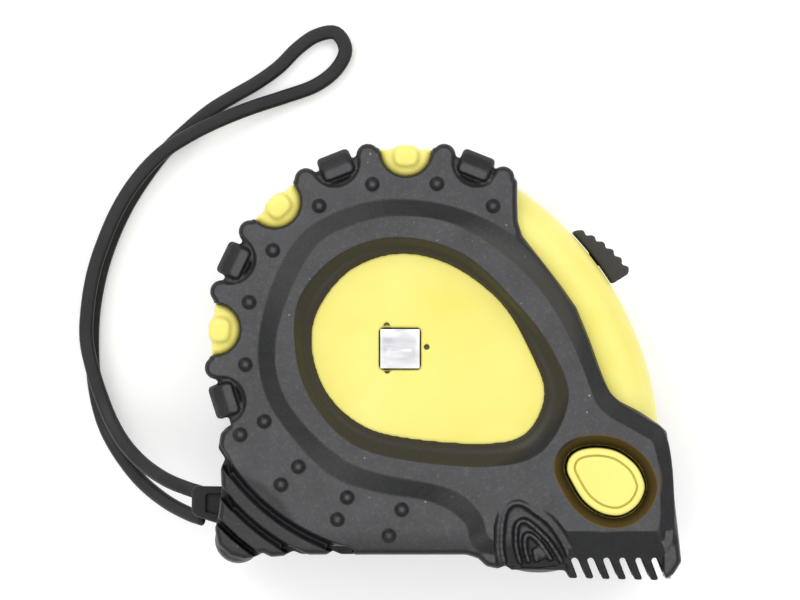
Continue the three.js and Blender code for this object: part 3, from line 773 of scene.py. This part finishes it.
def fanFace(side, spread, sink):
    # cuts a leaning face, wider than the arches by the spread and sunk below their crests
    outline = grow((fanArches[0] + [(29.4, -37.2), (24.0, -37.8), (18.2, -37.6)])[::-1], spread)
    low, high = 12, 18
    tool = prism(outline, low, high, side)
    for vertex in tool.data.vertices:
        height = (vertex.co.z - middleZ) / mm * side
        if height < (low + high) / 2:
            vertex.co.z = middleZ + (fanHeight((vertex.co.y - centreY) / mm) - sink) * mm * side
    looseSelect(tool)
    bpy.ops.object.mode_set(mode="EDIT")
    bpy.ops.mesh.select_all(action="SELECT")
    bpy.ops.mesh.quads_convert_to_tris()
    bpy.ops.object.mode_set(mode="OBJECT")
    return tool


# half width, outer end and height of each ring of a tread block
blockRings = ((2.95, armor["tread"], armor["seam"]), (2.95, armor["tread"], 13.2), (2.85, 34.2, 14.2),
              (2.75, 33.0, 15.0), (2.45, 32.2, 15.35))
bulb = {"x": -27.9, "y": -33.0, "height": 11.2, "radius": 4.1}
lipOutline = [(23.9 + 5.4 * cos(2 * pi * i / 32), -36.9 + 1.75 * sin(2 * pi * i / 32)) for i in range(32)]
# inner radius, outer radius and lean of the walls of each groove, and the arc that they run along
grooves = ((36.5, 38.2, 0.7), (40.2, 41.7, 0.6), (44.2, 45.2, 0.35))
grooveArc = (200, 256, 24)
teeth = {"gaps": 6, "first": 29.4, "pitch": 2.76, "lean": 2.0, "gap": 1.35, "spare": 0.12}
studRings = ((1.2, 14.0), (1.2, 14.9), (1.1, 15.2), (0.85, 15.5), (0.5, 15.7), (0.2, 15.78))


def stepped(name, outline, side, *steps):
    # the same outline at each height, drawn in by the inset beside it
    return sideRings(name, side, *((grow(outline, -inset) if inset else outline, height)
                                   for inset, height in steps))


def notchSolid(name, angle, side, *steps):
    # a round-ended notch from the crown inwards; a step is half width, inner end and height
    return sideRings(name, side, *((radialOutline(angle, notchProfile(half, start, pastCrown)), height)
                                   for half, start, height in steps))


def armorPiece(side):
    seam = armor["seam"]
    flange = armor["flange"]
    piece = stepped("armor", armorOutline, side, (0, seam), (0, 13.8), (0.3, 14.6), (1.0, flange))
    adds = [sideRings("plateau", side, (bandOutline, 13.2), (bandOutline, flange),
                      (plateauOutline, armor["plateau"]))]
    cuts = []
    for angle in blockAngles:
        cuts.append(notchSolid("step", angle, side, (4.0, 29.4, 14.5), (4.5, 28.9, 15.1),
                               (4.7, 28.7, pastFace)))
        cuts.append(notchSolid("shelf", angle, side, (3.45, 29.9, 14.0), (3.45, 29.9, pastFace)))
        gap = [(33.0, -4.6), (pastCrown, -4.6), (pastCrown, 4.6), (33.0, 4.6)]
        cuts.append(prism(radialOutline(angle, gap), pastSeam, pastFace, side))
    combine(piece, cuts, "DIFFERENCE")
    for angle in lugAngles:
        lug = radialOutline(angle, barProfile(2.0, 30.5, armor["tread"]))
        adds.append(stepped("lug", lug, side, (0, seam), (0, 14.1), (0.35, 14.75), (0.9, 15.03)))
    for angle in blockAngles:
        adds.append(sideRings("block", side, *((radialOutline(angle, roundBar(half, 30.8, end, 0.7)), height)
                                               for half, end, height in blockRings)))
    rings = []
    for turn in (-60, -30, 0, 25, 50, 75):
        reach = bulb["radius"] * cos(radians(turn))
        height = bulb["height"] + bulb["radius"] * sin(radians(turn))
        rings.append((circleOutline(bulb["x"], bulb["y"], reach), height))
    adds.append(sideRings("bulb", side, *rings))
    adds.append(stepped("lip", lipOutline, side, (0, seam), (0, 11.5), (0.25, 12.6), (0.7, 13.5),
                        (1.3, 13.9)))
    combine(piece, adds, "UNION")
    # each groove is a notch in the side, clear of the shell, and a vee across the face above it
    vees = []
    for inner, outer, lean in grooves:
        top = arcBand(crown, inner, outer, *grooveArc)
        foot = arcBand(crown, inner + lean, outer - lean, *grooveArc)
        groove = prism(top, 10.5, pastFace, side)
        combine(groove, [prism(shellOutline(-0.8), -3, 20, side)], "DIFFERENCE")
        combine(piece, [groove], "DIFFERENCE")
        vees.append(sideRings("vee", side, (foot, 13.5), (top, 15.0), (top, pastFace)))
    combine(piece, vees, "DIFFERENCE")

    cuts = [
        ringSolid("room", shellRings(0.15, side)),
        prism(boxOutline(-40, -25.5, -31.9, -23.3), pastSeam, 3.7, side),  # opening for the strap
        prism(boxOutline(44.8, 54, -42, -26.7), pastSeam, 10.8, side),  # opening for the blade and hook
        sideRings("noseFoot", side, (boxOutline(29.6, 45.5, -42, -40.4), 11.6),
                  (boxOutline(27.5, 45.2, -42, -31.05), 16.7)),
        sideRings("noseSide", side, (boxOutline(48.8, 57, -42, -30.9), 14.85),
                  (boxOutline(45.2, 57, -42, -30.9), 15.5), (boxOutline(45.2, 57, -42, -30.9), pastFace)),
    ]
    for angle in knobAngles:
        cuts.append(notchSolid("notch", angle, side, (4.5, 28.7, pastSeam), (4.5, 28.7, 13.6),
                               (4.8, 28.4, 17)))
    lean, gap = teeth["lean"], teeth["gap"]
    for i in range(teeth["gaps"]):
        x = teeth["first"] + teeth["pitch"] * i
        slot = [(x, -36.2), (x + lean, -41.2), (x + lean + gap, -41.2), (x + gap, -36.4), (x + 0.8, -35.95)]
        wide = grow(slot, teeth["spare"])
        mouth = slot if side > 0 else wide
        cuts.append(sideRings("slot", side, (wide, pastSeam), (wide, 8), (mouth, 13), (mouth, pastFace)))
    dots = [onArc(crown, 27.9, angle) for angle in ringDotAngles] + list(looseDots)
    moats = [prism(circleOutline(x, y, 1.5, 20), 14.7, pastFace, side) for x, y in dots]
    if side > 0:
        cuts.append(stepped("buttonWell", eggOutline, side, (-0.5, 7), (-0.5, 13.9), (-0.9, 14.4),
                            (-1.8, 15.9), (-2.1, 16.62), (-3.0, pastFace)))
    else:
        cuts += [prism(circleOutline(x, y, holes["rubberScrew"]), 9, pastFace, side) for x, y in screwPlaces]
    combine(piece, cuts, "DIFFERENCE")
    combine(piece, moats, "DIFFERENCE")
    slope = ((mixOutlines(rimOutline, windowOutline, share), height)
             for share, height in ((0.83, 13.7), (0.80, 14.1), (0.50, 14.7), (0.10, 16.2)))
    rim = sideRings("rim", side, (windowOutline, 9), (windowOutline, 13.45), *slope, (rimOutline, 16.62),
                    (grow(rimOutline, 0.6), pastFace))
    combine(piece, [rim], "DIFFERENCE")
    combine(piece, [fanFace(side, 1.3, 0.05)], "DIFFERENCE")
    combine(piece, [fanFace(side, 0, fan["sink"])], "DIFFERENCE")
    studs = [sideRings("stud", side, *((circleOutline(x, y, radius, 16), height)
                                       for radius, height in studRings))
             for x, y in dots]
    looseSelect(piece, *studs, *fanRidges(side))
    bpy.ops.object.join()
    return mould(piece, armor["voxel"] * mm, armor["rounds"], armor["budget"])


for end, side in (("front", 1), ("rear", -1)):
    finish(armorPiece(side), f"{end}_armor_moulded", rubber, "case", "rubber_armor", f"{end}_armor")
    print(end, "armour moulded")


# ---- stop button
button = {"top": 16.9}
buttonPiece = ringSolid("button", [(grow(eggOutline, -inset), button["top"] - drop) for inset, drop in (
    (0, 5.6), (0, 0.9), (0.12, 0.45), (0.35, 0.2), (0.7, 0.12), (1.15, 0.12), (1.25, 0.55), (1.5, 0.55),
    (1.62, 0.1), (1.9, 0.03), (2.3, 0.0))])
looseSelect(buttonPiece)
bpy.ops.object.shade_smooth_by_angle(angle=radians(50))
finish(buttonPiece, "stop_button_cap", paleYellow, "button", "yellow_shell", "stop_button")


# ---- arbor
arbor = {"half": 3.4, "foot": -10.9, "top": 13.4, "bevel": 0.25, "scratch": 0.25}
arborPiece = prism(squareOutline(arbor["half"]), arbor["foot"], arbor["top"])
scratchPiece = prism(boxOutline(-2.2, 2.0, -0.35, 0.15), arbor["top"] - arbor["scratch"], pastShell)
combine(arborPiece, [scratchPiece], "DIFFERENCE")
bevel = arborPiece.modifiers.new("bevel", "BEVEL")
bevel.width = arbor["bevel"] * mm
bevel.segments = 2
looseSelect(arborPiece)
bpy.ops.object.modifier_apply(modifier="bevel")
bpy.ops.object.shade_smooth_by_angle(angle=radians(40))
finish(arborPiece, "arbor_post", bright, "case", "arbor_metal", "arbor")


# ---- lock pad
lock = {"inner": 56.15, "outer": 60.1, "start": 31.9, "end": 43.4, "ridges": 6, "depth": 0.75,
        "fall": 2.8, "half": 6, "voxel": 0.22, "rounds": 3, "budget": 60000}


def lockOutline():
    # the outer edge rises in rounded ridges, and falls towards the upper end
    steps = lock["ridges"] * 6
    outer = []
    for i in range(steps + 1):
        share = i / steps
        angle = lock["start"] + (lock["end"] - lock["start"]) * share
        wave = abs(sin(pi * lock["ridges"] * share))
        radius = lock["outer"] - lock["depth"] * (1 - wave) - lock["fall"] * share ** 2
        outer.append(onArc(crescent["centre"], radius, angle))
    return outer + arcPoints(crescent["centre"], lock["inner"], lock["end"], lock["start"], 8)


lockPiece = ringSolid("lock", [(lockOutline(), height) for height in (-lock["half"], lock["half"])])
combine(lockPiece, [prism(arcBand(crescent["centre"], 53.5, 57.0, 36, 38.5, 4), -1.9, 1.9)], "UNION")
mould(lockPiece, lock["voxel"] * mm, lock["rounds"], lock["budget"])
finish(lockPiece, "lock_pad_ridged", darkPlastic, "lock", "dark_plastic", "lock_pad")

# ---- small parts: the frame's own shapes with their edges broken
def refined(node, name, material, body, slot, width=0.12, angle=32):
    looseSelect(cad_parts[node])
    bpy.ops.object.duplicate()
    piece = bpy.context.object
    bpy.ops.object.mode_set(mode="EDIT")
    bpy.ops.mesh.select_all(action="SELECT")
    bpy.ops.mesh.remove_doubles(threshold=1e-6)
    bpy.ops.mesh.dissolve_limited(angle_limit=radians(1.0))
    bpy.ops.object.mode_set(mode="OBJECT")
    bevel = piece.modifiers.new("bevel", "BEVEL")
    bevel.width = width * mm
    bevel.segments = 2
    bevel.limit_method = "ANGLE"
    bevel.angle_limit = radians(angle)
    bpy.ops.object.modifier_apply(modifier=bevel.name)
    bpy.ops.object.shade_smooth_by_angle(angle=radians(angle))
    return finish(piece, name, material, body, slot, node)


refined("belt_clip", "belt_clip_sprung", blackened, "case", "clip_steel", 0.25)
refined("clip_screw", "clip_screw_driven", plated, "case", "steel")
refined("end_hook", "end_hook_pressed", hookSteel, "hook", "hook_metal", 0.2)
for number in range(1, 5):
    refined(f"case_screw_{number}", f"case_screw_driven_{number}", plated, "case", "steel")
for number in (1, 2):
    refined(f"hook_rivet_{number}", f"hook_rivet_set_{number}", plated, "blade", "steel")

for node, material in (("reel", milkPlastic), ("lock_tongue", milkPlastic), ("spring_cover", plated),
                       ("power_spring", blackened), ("strap_pin", plated), ("button_spring", plated),
                       ("blade_coil", blade), ("blade_lead", blade)):
    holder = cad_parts[node]
    holder.data.materials.clear()
    holder.data.materials.append(material)
print("small parts finished")

# ---- floor, light
bpy.ops.object.select_all(action="DESELECT")
bpy.ops.mesh.primitive_plane_add(size=6, location=(0, 0, tableZ - 0.0002))
floor = bpy.context.object
floor.name = "floor"
floorMaterial, floorTree, floorShader = newMaterial("floor", Roughness=0.9, Emission_Color=(1, 1, 1, 1),
                                                   Emission_Strength=0.22)
floorTree.links.new(ramp(floorTree, noise(floorTree, 6), (0.86, 0.86, 0.86), (0.9, 0.9, 0.9)),
                    floorShader.inputs["Base Color"])
floor.data.materials.append(floorMaterial)

world = bpy.data.worlds.new("studio")
world.use_nodes = True
world.node_tree.nodes["Background"].inputs["Color"].default_value = (1, 1, 1, 1)
world.node_tree.nodes["Background"].inputs["Strength"].default_value = 0.72
bpy.context.scene.world = world
bpy.context.scene.view_settings.view_transform = "Standard"

lamps = {"reach": 0.75, "height": 0.8, "size": 0.7, "power": 3.1}
for angle, share in ((125, 1.5), (35, 1.0), (215, 0.8), (305, 0.7)):
    data = bpy.data.lights.new("lamp", "AREA")
    data.size = lamps["size"]
    data.energy = lamps["power"] * share
    lamp = bpy.data.objects.new("lamp", data)
    bpy.context.collection.objects.link(lamp)
    x, y = onArc((0, 0), lamps["reach"], angle)
    lamp.location = (x, y, lamps["height"])
    lamp.rotation_euler = (Vector((0, 0, 0)) - lamp.location).to_track_quat("-Z", "Y").to_euler()
